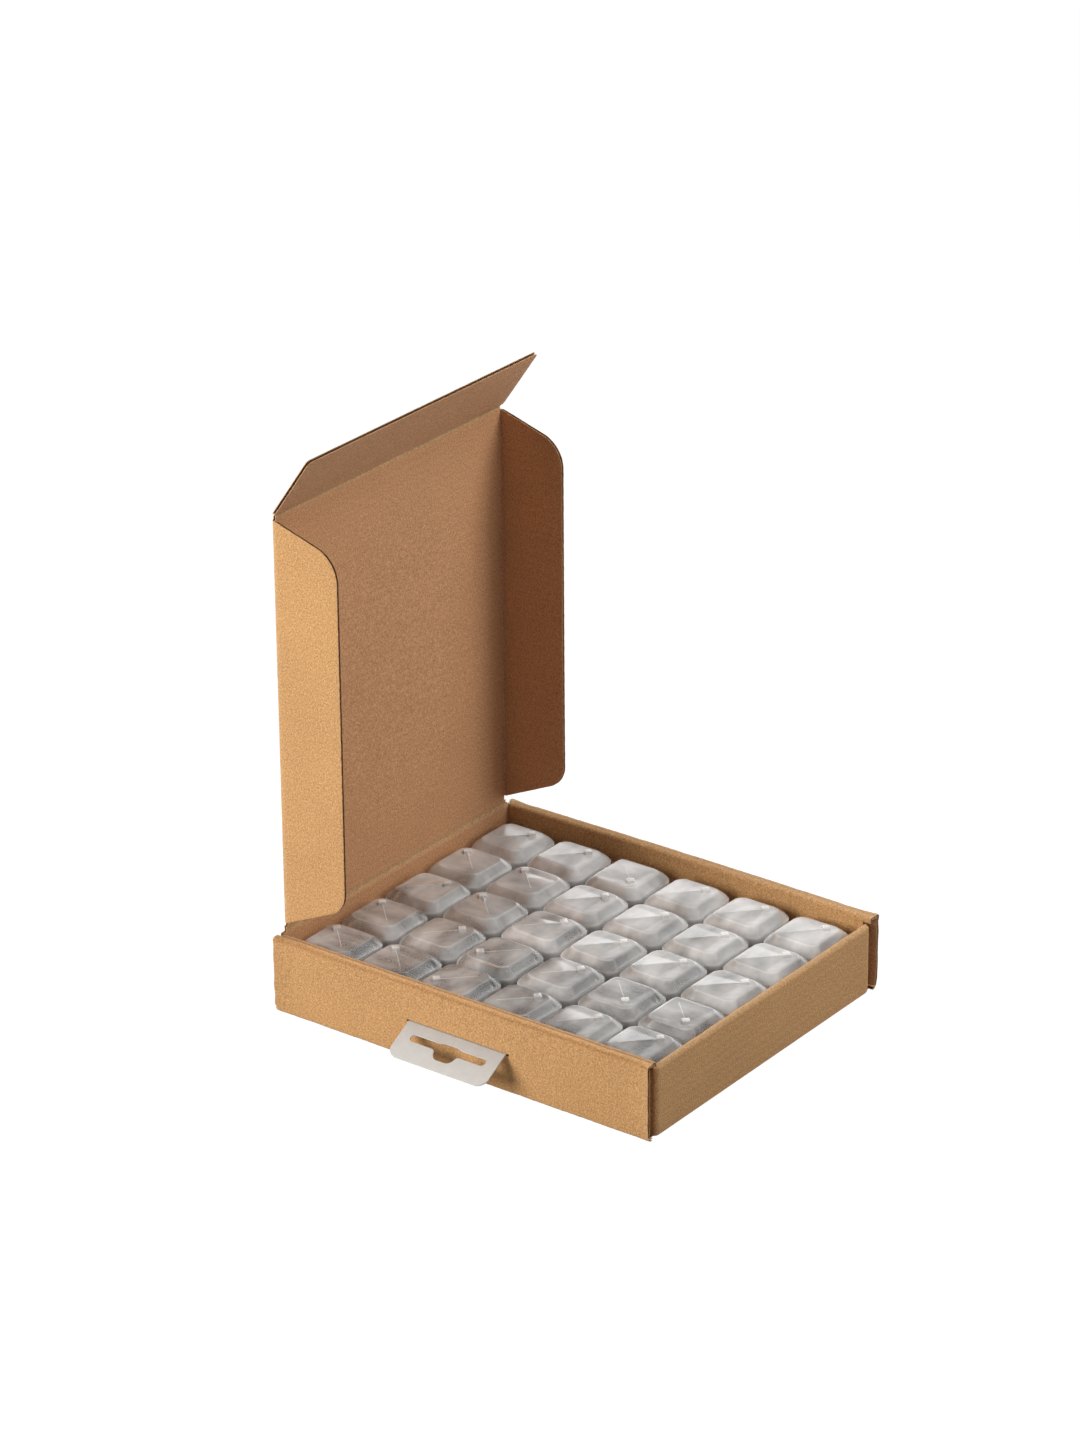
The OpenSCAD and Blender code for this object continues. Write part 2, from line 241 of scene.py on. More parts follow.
def wander(x, seed, size, wave=11.0):
    """Smooth irregular offset along x: three sines of unrelated wavelengths, seeded phases."""
    phase = np.random.default_rng(seed).uniform(0, 2 * math.pi, 3)
    return size * (0.55 * np.sin(2 * math.pi * x / wave + phase[0])
                   + 0.30 * np.sin(2 * math.pi * x / (0.43 * wave) + phase[1])
                   + 0.15 * np.sin(2 * math.pi * x / (0.17 * wave) + phase[2]))


def slab(top, low, keep):
    """Closed slab between two grids of points: the kept cells of the upper grid, the same
    cells of the lower grid turned over, and a wall along each edge where kept cells stop."""
    n, m = keep.shape[0] + 1, keep.shape[1] + 1
    ids = np.arange(n * m).reshape(n, m)
    under = n * m
    a, b, c, d = ids[:-1, :-1], ids[1:, :-1], ids[1:, 1:], ids[:-1, 1:]
    faces = [np.stack([a, b, c, d], -1)[keep], np.stack([d, c, b, a], -1)[keep] + under]
    k = np.pad(keep, 1)
    for p, q, after, before in ((ids[:-1, :], ids[1:, :], k[1:-1, 1:], k[1:-1, :-1]),
                                (ids[:, 1:], ids[:, :-1], k[1:, 1:-1], k[:-1, 1:-1])):
        for starts, first, second in ((after & ~before, q, p), (before & ~after, p, q)):
            faces.append(np.stack([first, second, second + under, first + under], -1)[starts])
    points = np.concatenate([top.reshape(-1, 3), low.reshape(-1, 3)])
    return points, np.concatenate(faces)


def outward(points, quads):
    """The quads turned so that the closed surface they make has a positive volume."""
    a, b, c, d = (points[quads[:, i]] for i in range(4))
    volume = (np.cross(b - a, c - a) * a).sum() + (np.cross(c - a, d - a) * a).sum()
    return quads if volume > 0 else quads[:, ::-1]


def board(U, C, place, along, keep=None, wear_and_painted_shade=None, pinch=0.0, seed=0, thick=BOARD, fray=0.05):
    """Corrugated board as three closed sheets. U runs along the panel's path and C across
    it; place(u, c, n) puts a point at distance n outside the middle. The liners are at
    n = +-thick / 2, pinched closer where the board is crushed, and the fluting is a sine
    between them. Cut edges stray by a wandering offset, and the fluting draws back there."""
    keep = np.ones((U.shape[0] - 1, U.shape[1] - 1), bool) if keep is None else keep
    wear_and_painted_shade = np.zeros(U.shape) if wear_and_painted_shade is None else wear_and_painted_shade
    across, run = (C, U) if along == "u" else (U, C)
    wave = np.sin(2 * math.pi * across / FLUTE)
    half = thick / 2 * (1 - pinch)
    mid_u, mid_c = (U.max() + U.min()) / 2, (C.max() + C.min()) / 2
    rim_u = ((U - mid_u) / (U.max() - mid_u)) ** 9
    rim_c = ((C - mid_c) / (C.max() - mid_c)) ** 9
    liner, web, gap, ripple, recess = 0.20, 0.06, 0.04, 0.018, 0.38
    crest = (half - liner - gap) * wave
    sheets = []
    for number, (n0, n1, draw) in enumerate((
            (half + ripple * wave, half - liner, 0.0),
            (-half + ripple * wave, -half + liner, 0.0),
            (crest + web, crest - web, recess))):
        u = U + rim_u * (wander(C, seed + number, 0.05) - draw)
        c = C + rim_c * (wander(U, seed + number + 7, fray, 6.0) - draw)
        full = np.zeros(U.shape)
        points, quads = slab(place(u, c, n0 + full), place(u, c, n1 + full), keep)
        # The third number is wear, pale above zero, and painted shade, dark below zero.
        grain = np.stack([across, run, wear_and_painted_shade * 1000], -1).reshape(-1, 3) / 1000
        sheets.append((points, outward(points, quads), number, np.concatenate([grain, grain])))
    return sheets


def piece(name, parts, materials, sharp=35):
    """Mesh object from closed parts in millimetres: points, quads, material number and grain."""
    points = np.concatenate([p[0] for p in parts]) / 1000
    start = np.cumsum([0] + [len(p[0]) for p in parts[:-1]])
    quads = np.concatenate([p[1] + s for p, s in zip(parts, start)])
    number = np.concatenate([np.full(len(p[1]), p[2]) for p in parts])
    grain = np.concatenate([p[3] for p in parts])
    used, quads = np.unique(quads, return_inverse=True)
    quads = quads.reshape(-1, 4)
    points, grain = points[used], grain[used]
    mesh = bpy.data.meshes.new(name)
    mesh.vertices.add(len(points))
    mesh.vertices.foreach_set("co", points.astype(np.float32).ravel())
    mesh.loops.add(quads.size)
    mesh.loops.foreach_set("vertex_index", quads.astype(np.int32).ravel())
    mesh.polygons.add(len(quads))
    mesh.polygons.foreach_set("loop_start", np.arange(0, quads.size, 4, dtype=np.int32))
    for material in materials:
        mesh.materials.append(material)
    mesh.update(calc_edges=True)
    mesh.polygons.foreach_set("material_index", number.astype(np.int32))
    mesh.polygons.foreach_set("use_smooth", np.ones(len(quads), bool))
    mesh.attributes.new("board", "FLOAT_VECTOR", "POINT").data.foreach_set(
        "vector", grain.astype(np.float32).ravel())
    mesh.set_sharp_from_angle(angle=math.radians(sharp))
    mesh.validate()
    made = bpy.data.objects.new(name, mesh)
    bpy.context.scene.collection.objects.link(made)
    return made


def grid(u, c):
    """Two grids of coordinates from two lists of places."""
    return np.meshgrid(u, c, indexing="ij")


def cells(u, c, boxes):
    """Which grid cells lie outside all the boxes (u0, u1, c0, c1)."""
    mu, mc = grid((u[1:] + u[:-1]) / 2, (c[1:] + c[:-1]) / 2)
    keep = np.ones(mu.shape, bool)
    for u0, u1, c0, c1 in boxes:
        keep &= ~((mu > u0) & (mu < u1) & (mc > c0) & (mc < c1))
    return keep


inner = HW - SIDE
wide, thin = TAB_HALF + PLAY, MID + PLAY
slots = [(y - wide, y + wide, s * (inner + MID) - thin, s * (inner + MID) + thin)
         for s in (-1, 1) for y in (-HD / 2, HD / 2)]
slots += [(-HD + FRONT - BOARD - PLAY, -HD + FRONT + PLAY, x - wide, x + wide) for x in (-HW / 2, HW / 2)]
u = stations(-HD + SKIRT, HD - SKIRT, FINE, [v for s in slots for v in s[:2]])
c = stations(-HW + SKIRT, HW - SKIRT, 9.0, [v for s in slots for v in s[2:]])
U, C = grid(u, c)


def floor_place(u, c, n):
    """Flat panel on the ground, its outer face down."""
    return np.stack([c, u, MID - n], -1)


floor_panel = piece("floor_panel", board(U, C, floor_place, "c", cells(u, c, slots), seed=3), kraft_papers)
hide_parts("base_panel")
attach(floor_panel, "tray")

# ---- side walls --------------------------------------------------------------
# Doubled walls rolled over at the top, flutes upright: each is creased up from
# the floor, turns over two folds and drops inside, where two tabs lock it.

WALL = 29.5                      # height of the side walls, mm
LEFT_BOW, RIGHT_BOW = 0.2, 0.8   # how far the tops of the walls bulge at mid-length, mm
FLARE, FLARE_RUN = 1.0, 9.0      # how far and how long the ends of the outer leaf spring off, mm
SLIT_Z, SLIT_HALF = 14.75, 21.9  # height and half length of the hang tab's slit, mm
CUT_Z = 27.0                     # the inner leaf is cut away below this at the front wall, mm


def folded(corners, radii):
    """Path through the corners with each inner corner rounded to its radius: an arc of nine
    points that leaves its sides at radius * tan(turn / 2) from the corner. Gives length
    along the path, points and unit normals on the left of the direction of travel turned
    outward."""
    corners = np.asarray(corners, float)
    run = [corners[:1]]
    for before, at, after, r in zip(corners[:-2], corners[1:-1], corners[2:], radii):
        d1, d2 = (at - before) / np.linalg.norm(at - before), (after - at) / np.linalg.norm(after - at)
        turn = math.atan2(d1[0] * d2[1] - d1[1] * d2[0], float(d1 @ d2))
        start = at - d1 * r * math.tan(abs(turn) / 2)
        side = np.array([-d1[1], d1[0]]) * math.copysign(1, turn)
        angle = np.linspace(0, abs(turn), 9)[:, None]
        run.append(start + r * (np.sin(angle) * d1 + (1 - np.cos(angle)) * side))
    run.append(corners[-1:])
    points = np.concatenate(run)
    length = np.concatenate([[0], np.cumsum(np.linalg.norm(np.diff(points, axis=0), axis=1))])
    keep = np.concatenate([[True], np.diff(length) > 1e-6])
    points, length = points[keep], length[keep]
    fine = np.unique(np.concatenate([np.linspace(0, length[-1], 900), length]))
    xy = np.stack([np.interp(fine, length, points[:, i]) for i in (0, 1)], -1)
    way = np.gradient(xy, fine, axis=0)
    way /= np.linalg.norm(way, axis=1)[:, None]
    return fine, xy, np.stack([-way[:, 1], way[:, 0]], -1), length[-1]


def on_path(path, u, n):
    """Both coordinates of the points at lengths u along a folded path and n outside it."""
    fine, xy, out, _ = path
    return [np.interp(u, fine, xy[:, i]) + n * np.interp(u, fine, out[:, i]) for i in (0, 1)]


def length_at(path, height, last=False):
    """Length along the path where it first (or last) crosses that height."""
    fine, xy = path[:2]
    hits = np.nonzero(np.diff(np.sign(xy[:, 1] - height)))[0]
    return fine[hits[-1 if last else 0]]


def near(u, places, width):
    """Sum of bell curves of that width round the places."""
    return np.exp(-((u[..., None] - np.asarray(places)) / width) ** 2).sum(-1)


def tab_edges(half):
    """Both edges of the two locking tabs of a wall, which stand at half the half length."""
    return [mid + s * TAB_HALF for mid in (-half / 2, half / 2) for s in (-1, 1)]


def beside(tabs, low, high, half):
    """The boxes beside the two locking tabs, from low to high along the path."""
    return [(low, high, a, b) for a, b in ((-half, tabs[0]), (tabs[1], tabs[2]), (tabs[3], half))]


def bow(y, z, mirror):
    """How far a side wall bulges outward: a parabola along Y that grows with height. The left
    wall (mirror 1) stays nearly straight, so that the hang tab lies flat against it."""
    most = LEFT_BOW if mirror > 0 else RIGHT_BOW
    return most * (1 - np.clip(np.abs(y) / HD, 0, 1) ** 2) * np.clip(z / WALL, 0, 1) ** 2.2


def flare(x, y, z):
    """How far the outer leaf springs away from the corner fold at its ends: a square law over
    the last stretch of its length, from the floor crease up."""
    return (FLARE * np.clip((np.abs(y) - HD + FLARE_RUN) / FLARE_RUN, 0, 1) ** 2
            * (x < -HW + BOARD + 0.05) * np.clip(z / 4, 0, 1))


x_out, x_in = HW - MID, inner + MID
side_path = folded([(-HW + SKIRT, MID), (-x_out, MID), (-x_out, WALL - MID), (-x_in, WALL - MID),
                    (-x_in, 0.1)], [0.5, 0.6, 0.6])
end = side_path[3]
roll_a, roll_b = (length_at(side_path, WALL - MID - 0.1, last) for last in (False, True))
low_front = length_at(side_path, CUT_Z, True)
floor_in = length_at(side_path, BOARD + 0.05, True)
slit = (length_at(side_path, SLIT_Z - 0.35), length_at(side_path, SLIT_Z + 0.45), -SLIT_HALF, SLIT_HALF)
folds = [0.9, roll_a + 0.4, roll_b - 0.4]
tabs = tab_edges(HD)
front_end, back_end = -HD + FRONT + PLAY, HD - BOARD - PLAY
gaps = [(low_front, end + 1, -HD - 1, front_end), (roll_a + 0.9, end + 1, back_end, HD + 1)]
gaps += beside(tabs, floor_in, end + 1, HD + 1)
marks = [low_front, floor_in, roll_a + 0.9, *slit[:2], *np.linspace(0.2, 2.6, 9)]
marks += [*np.linspace(roll_a - 1.0, roll_b + 1.0, 17)]
u = stations(0, end, 4.0, marks)
c = stations(-HD, HD, FLUTE / 6, [-SLIT_HALF, SLIT_HALF, front_end, back_end, *tabs])
U, C = grid(u, c)
crumple = near(U, folds, 0.55)
ends = np.exp(-(HD - np.abs(C)) / 0.4)
rolled = np.exp(-(np.abs(U - (roll_a + roll_b) / 2) / 1.9) ** 6)


def side_wall(mirror, cut, seed):
    """The folded side path swept along Y, bowed outward and a little uneven at the folds. The
    left wall's rolled top (mirror 1) is darkened between its two folds: painted shade."""
    def place(u, c, n):
        x, z = on_path(side_path, u, n)
        rough = near(u, folds, 1.4) * wander(c, seed + 40, 0.10, 23.0)
        x = x - bow(c, z, mirror) - rough - flare(x, c, z)
        z = z + np.where(z > 5, -np.abs(rough), 0.5 * np.abs(rough))
        return np.stack([x * mirror, c, z], -1)
    # Painted shade: the left wall's rolled top, which gets less light than its outer face, is darkened
    # between its folds.
    painted_shade = 1.1 * rolled * np.clip(1 - crumple, 0, 1) * (mirror > 0)
    return board(U, C, place, "u", cells(u, c, gaps + cut), wear_and_painted_shade=0.75 * crumple + 0.7 * ends - painted_shade,
                 pinch=np.clip(0.22 * crumple + 0.2 * ends, 0, 0.35), seed=seed, fray=0.22)


for name, mirror, cut, seed in (("left_wall", 1, [slit], 11), ("right_wall", -1, [], 17)):
    wall = piece(name + "_board", side_wall(mirror, cut, seed), kraft_papers)
    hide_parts(name)
    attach(wall, "tray")

# ---- front and back walls ----------------------------------------------------
# The front wall is doubled like the sides but lower and thinner, flutes level.
# The back wall is one sheet that carries on through the crease into the lid.

FRONT_H = 26.885                # height of the front wall, mm
BEND_X, BEND_R = 62.4, 2.2      # where the front wall turns into its flaps, and the radius, mm
FRONT_END, SHORT = 64.95, 62.2  # half length of the front wall, and of its foot under the bends, mm
BACK_END = 65.3                 # half length of the back wall, mm
BACK_TOP = 29.35                # height of the back wall at the lid's crease, mm
front_path = folded([(-HD + SKIRT, MID), (-HD + MID, MID), (-HD + MID, FRONT_H - MID),
                     (-HD + FRONT - MID, FRONT_H - MID), (-HD + FRONT - MID, 0.1)], [0.5, 0.79, 0.79])
end = front_path[3]
roll_a, roll_b = (length_at(front_path, FRONT_H - 1.5, last) for last in (False, True))
roll = (roll_a + roll_b) / 2
floor_in = length_at(front_path, BOARD + 0.05, True)
foot = 1.1
tabs = tab_edges(HW)
gaps = [(-1, foot, -HW, -SHORT), (-1, foot, SHORT, HW),
        (roll + 0.7, end + 1, -HW, -inner), (roll + 0.7, end + 1, inner, HW)]
gaps += beside(tabs, floor_in, end + 1, HW)
u = stations(0, end, FINE, [foot, floor_in, roll + 0.7])
around = np.linspace(SHORT, FRONT_END - 0.05, 14)
c = stations(-FRONT_END, FRONT_END, 6.0, [-inner, inner, *tabs, *around, *-around])
U, C = grid(u, c)
crumple = near(U, [0.9, roll_a + 0.9, roll_b - 0.9], 0.5)


def front_place(u, c, n):
    """The folded front path swept along X, a little uneven where it rolls over. Past the bend
    the outer leaf runs on round a circle, so that it meets the corner flap: a point at arm's
    length from the centre goes arm * sin(turn) out and arm * (1 - cos(turn)) back."""
    y, z = on_path(front_path, u, n)
    rough = np.exp(-((u - roll) / 3.0) ** 2) * wander(c, 51, 0.14, 31.0)
    over = np.clip(np.abs(c) - BEND_X, 0, None)
    turn = np.minimum(over / BEND_R, math.pi / 2)
    leaf = np.clip((-HD + 2.2 - y) / 1.5, 0, 1)
    arm = BEND_R - (y + HD - MID)
    x = c + np.sign(c) * (arm * np.sin(turn) - over) * leaf
    y = y + (arm * (1 - np.cos(turn)) + over - BEND_R * turn) * leaf
    return np.stack([x, y + rough, z - np.abs(rough)], -1)


# Painted shade: the front wall is darkened past the bends where it curls into its corner flaps.
painted_shade = np.clip(np.abs(C) - 63.6, 0, 1)
front_board = piece("front_wall_board", board(
    U, C, front_place, "c", cells(u, c, gaps), wear_and_painted_shade=0.7 * crumple - painted_shade,
    pinch=np.clip(0.2 * crumple, 0, 0.3), seed=23), kraft_papers)
back_path = folded([(HD - SKIRT, MID), (HD - MID, MID), (HD - MID, BACK_TOP)], [0.5])
end = back_path[3]
u, c = stations(0, end, FINE), stations(-BACK_END, BACK_END, 8.0, (-63.5, 63.5))
U, C = grid(u, c)
crumple = near(U, [0.9, end - 0.2], 0.6)


def back_place(u, c, n):
    """The back path swept along X."""
    y, z = on_path(back_path, u, -n)
    return np.stack([c, y, z], -1)


back_board = piece("back_wall_board", board(
    U, C, back_place, "c", wear_and_painted_shade=0.6 * crumple, pinch=np.clip(0.25 * crumple, 0, 0.3), seed=29), kraft_papers)
for wall, node in ((front_board, "front_wall"), (back_board, "back_wall")):
    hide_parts(node)
    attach(wall, "tray")

# ---- corner flaps ------------------------------------------------------------
# Four ends of the cross walls, folded a quarter turn and hidden in the pockets
# of the side walls; only their rounded folds and top edges show at the corners.

FLAP_Y = -HD + 45.3       # where the flaps end, mm
POCKET_X = HW - SIDE / 2  # middle of the side walls' pockets, mm
front_turn = [(-BEND_X + 0.05, -HD + MID), (-BEND_X - BEND_R, -HD + MID), (-BEND_X - BEND_R, -HD + 4.0),
              (-POCKET_X, -HD + 9.0), (-POCKET_X, FLAP_Y)]
back_turn = [(-62.45, -HD + MID), (-POCKET_X, -HD + MID), (-POCKET_X, FLAP_Y)]
front_top, back_top = FRONT_H - 1.5, 28.0
for name, sx, sy, top in (("front_left_flap", -1, 1, front_top), ("front_right_flap", 1, 1, front_top),
                          ("back_left_flap", -1, -1, back_top), ("back_right_flap", 1, -1, back_top)):
    if sy > 0:
        flap_path = folded(front_turn, [BEND_R, 1.5, 1.5])
        u = stations(2.55, flap_path[3], 5.0, np.linspace(2.55, 14.0, 18))
    else:
        flap_path = folded(back_turn, [4.0])
        u = stations(2.8, flap_path[3], 5.0, np.linspace(2.8, 7.0, 14))
    c = stations(BOARD + 0.15, top, FINE)
    U, C = grid(u, c)
    crumple = np.exp(-((U - 4.4) / 1.4) ** 2)

    def flap_place(u, c, n):
        """The flap's path in X and Y, following the bow of its side wall, swept along Z."""
        x, y = on_path(flap_path, u, n)
        return np.stack([-sx * (x - bow(y, c, -sx) * np.clip((u - 2) / 8, 0, 1)), sy * y, c], -1)

    # Painted shade: the front left flap is darkened round its fold, in the deep gap at the near corner.
    painted_shade = 1.1 * np.exp(-((U - 6.5) / 3.2) ** 4) if sy > 0 > sx else 0
    flap = piece(name + "_board", board(
        U, C, flap_place, "u", wear_and_painted_shade=0.5 * crumple * (sy < 0) - painted_shade,
        pinch=0.15 * crumple, seed=31), kraft_papers)
    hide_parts(name)
    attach(flap, "tray")

# ---- lid ---------------------------------------------------------------------
# A flat panel of the same board with flutes level, creased to the back wall's
# top edge and standing upright there.

LID_Y, LID_Z = HD - MID, WALL + MID   # line of the lid's crease, mm
LID_LEN = 155.45                      # length of the lid between its creases, mm
WING_X, CREASE = 63.35, 0.85          # line of a wing's crease and half a crease's width, mm
u = stations(LID_Z + CREASE, LID_Z + LID_LEN - CREASE, FINE)
c = stations(-WING_X + CREASE, WING_X - CREASE, 9.0)
U, C = grid(u, c)
near_u = np.minimum(U - u[0], u[-1] - U)
near_c = np.minimum(C - c[0], c[-1] - C)
rim = np.exp(-np.minimum(near_u, near_c) / 0.6)


def lid_place(u, c, n):
    """Flat panel at the lid's plane with a very slight dish: a half sine along it times a
    half cosine across it."""
    dish = 0.25 * np.sin(math.pi * (u - LID_Z) / LID_LEN) * np.cos(math.pi * c / (2 * WING_X))
    return np.stack([c, LID_Y + n + dish, u], -1)


lid_board = piece("lid_board", board(
    U, C, lid_place, "c", wear_and_painted_shade=0.55 * rim, pinch=0.28 * rim, seed=37), kraft_papers)
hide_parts("lid_panel")
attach(lid_board, "lid")

# ---- lid wings ---------------------------------------------------------------
# Two side wings creased square to the lid, with sloping ends and rounded
# corners, which tuck in behind the side walls when the carton is shut.

WING_D = 27.3                               # depth of a wing, mm
LOW_Y, TOP_Y = 2.4, LID_LEN - CREASE - 0.3  # ends of a wing's crease along the lid, mm
LOW_SLOPE, TOP_SLOPE = math.radians(25), math.radians(17)  # slopes of a wing's ends


def wing_depth(v):
    """Depth of a wing at height v along the lid: two sloping edges, each rounded into the
    straight free edge by a circle that touches both."""
    depth = np.full(v.shape, WING_D)
    for t, r, at in ((LOW_SLOPE, 10.0, v - LOW_Y), (TOP_SLOPE, 12.0, TOP_Y - v)):
        mid = WING_D - r
        centre = mid * math.tan(t) + r / math.cos(t)
        line = at / math.tan(t)
        arc = mid + np.sqrt(np.clip(r * r - (centre - at) ** 2, 0, None))
        touch = centre - r * math.cos(t)
        depth = np.minimum(depth, np.where(at < touch, line, np.where(at < centre, arc, WING_D)))
    return depth


v = stations(LOW_Y + CREASE * math.tan(LOW_SLOPE) + 0.08, TOP_Y - CREASE * math.tan(TOP_SLOPE) - 0.08, FINE,
             [*np.linspace(3, 24, 70), *np.linspace(132, 154, 80)])
w = np.concatenate([[0, 0.012, 0.03, 0.06], np.linspace(0.1, 0.9, 9), [0.94, 0.97, 0.988, 1]])
V, W = grid(v, w)
D = CREASE + (wing_depth(V) - CREASE) * W
free = np.exp(-(wing_depth(V) - D) / 0.35)
rim = np.exp(-(D - CREASE) / 0.6)


def flap_wear(free, rim):
    """Wear and pinch of a flap from how close it is to its cut edges and to its crease."""
    return {"wear_and_painted_shade": np.clip(0.25 * free + 0.5 * rim, 0, 1),
            "pinch": np.clip(0.16 * free + 0.28 * rim, 0, 0.3)}


def wing_place(side):
    """Flat wing square to the lid, its free edge curled in by the square of its depth."""
    def place(u, c, n):
        curl = 0.12 * (c / WING_D) ** 2 * np.sin(math.pi * u / LID_LEN)
        return np.stack([side * (WING_X + n - curl), LID_Y - c, LID_Z + u], -1)
    return place


for name, side, seed in (("left_wing", -1, 41), ("right_wing", 1, 43)):
    wing = piece(name + "_board", board(
        V, D, wing_place(side), "c", seed=seed, **flap_wear(free, rim)), kraft_papers)
    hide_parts("lid_" + name)
    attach(wing, name)

# ---- tuck flap ---------------------------------------------------------------
# A flap creased along the lid's top, with small round corners, which goes down
# inside the front wall to hold the carton shut.

LEAN = math.radians(35)                      # lean of the tuck flap from the lid's plane
TUCK_HW, TUCK_LEN, TUCK_R = 63.7, 28.4, 2.0  # its half width, length and corner radius, mm
u = stations(CREASE, TUCK_LEN, FINE, np.linspace(TUCK_LEN - TUCK_R, TUCK_LEN, 9))
w = stations(-1, 1, 0.1, (-0.998, -0.993, 0.993, 0.998))
U, W = grid(u, w)
round_off = TUCK_R - np.sqrt(np.clip(TUCK_R ** 2 - np.clip(U - TUCK_LEN + TUCK_R, 0, TUCK_R) ** 2, 0, None))
C = W * (TUCK_HW - 0.98 * round_off)
free = np.exp(-np.minimum(TUCK_LEN - U, TUCK_HW - np.abs(C)) / 0.35)
rim = np.exp(-(U - CREASE) / 0.6)


def tuck_place(u, c, n):
    """Flat flap that leans in from the lid's top crease by the lean angle."""
    n = n + 0.1 * (u / TUCK_LEN) ** 2
    return np.stack([c, LID_Y + n * math.cos(LEAN) - u * math.sin(LEAN),
                     LID_Z + LID_LEN + u * math.cos(LEAN) + n * math.sin(LEAN)], -1)


tuck = piece("tuck_flap_board", board(
    U, C, tuck_place, "c", seed=47, **flap_wear(free, rim)), kraft_papers)
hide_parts("tuck_flap")
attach(tuck, "tuck")

# ---- creases -----------------------------------------------------------------
# Pressed strips of the same board between two panels, thinner than the panels
# and scuffed pale, each bent round its crease.


def crease(name, path, low, high, put):
    """Thin board strip along a short path, swept from low to high, bent round the crease
    between two panels; put(a, b, c) turns the path's two coordinates and the sweep into X,
    Y, Z. Its thickness follows a cosine, thinnest along the middle."""
    u, c = np.linspace(0, path[3], 13), stations(low, high, 4.0)
    U, C = grid(u, c)
    dent = 0.07 * np.cos(2 * math.pi * (U / path[3] - 0.5))

    def place(u, c, n):
        a, b = on_path(path, u, n - np.sign(n) * dent)
        return put(a, b, c)
    scuffed = np.full(U.shape, 0.5)
    strip = piece(name, board(U, C, place, "u", wear_and_painted_shade=scuffed, seed=53, thick=1.0), kraft_papers)
    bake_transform(strip)


def line(*corners, r=CREASE):
    """Path of a crease through its corners, which are rounded to that radius."""
    return folded(corners, [r] * (len(corners) - 2))


LAP = 0.25  # how far a crease strip runs on inside each panel, mm
z0, z1 = LID_Z - CREASE, LID_Z + CREASE
crease("lid_crease", line((LID_Y, z0 - LAP), (LID_Y, z1 + LAP)), -WING_X, WING_X,
       lambda a, b, c: np.stack([c, a, b], -1))
for name, side in (("left_wing", -1), ("right_wing", 1)):
    edge, half_way = WING_X - CREASE, 100
    crease(name + "_crease", line((edge - LAP, LID_Y), (WING_X, LID_Y), (WING_X, LID_Y - CREASE - LAP)),
           LID_Z + LOW_Y + 0.5, LID_Z + TOP_Y - 0.4, lambda a, b, c: np.stack([side * a, b, c], -1))
low, top = LID_Z + LID_LEN - CREASE, LID_Z + LID_LEN
lean = np.array([-math.sin(LEAN), math.cos(LEAN)])
far = np.array([LID_Y, top]) + lean * (CREASE + LAP)
crease("tuck_crease", line((LID_Y, low - LAP), (LID_Y, top), tuple(far), r=1.6),
       -WING_X + CREASE, WING_X - CREASE, lambda a, b, c: np.stack([c, a, b], -1))

# ---- hang tab ----------------------------------------------------------------
# Milky plastic sheet glued inside the left wall that comes out through a slit
# and folds down, with rounded corners and a hanging slot with a hook notch.


def blank(owner):
    """Empty node tree of a material or a world."""
    owner.use_nodes = True
    owner.node_tree.nodes.clear()
    return owner.node_tree


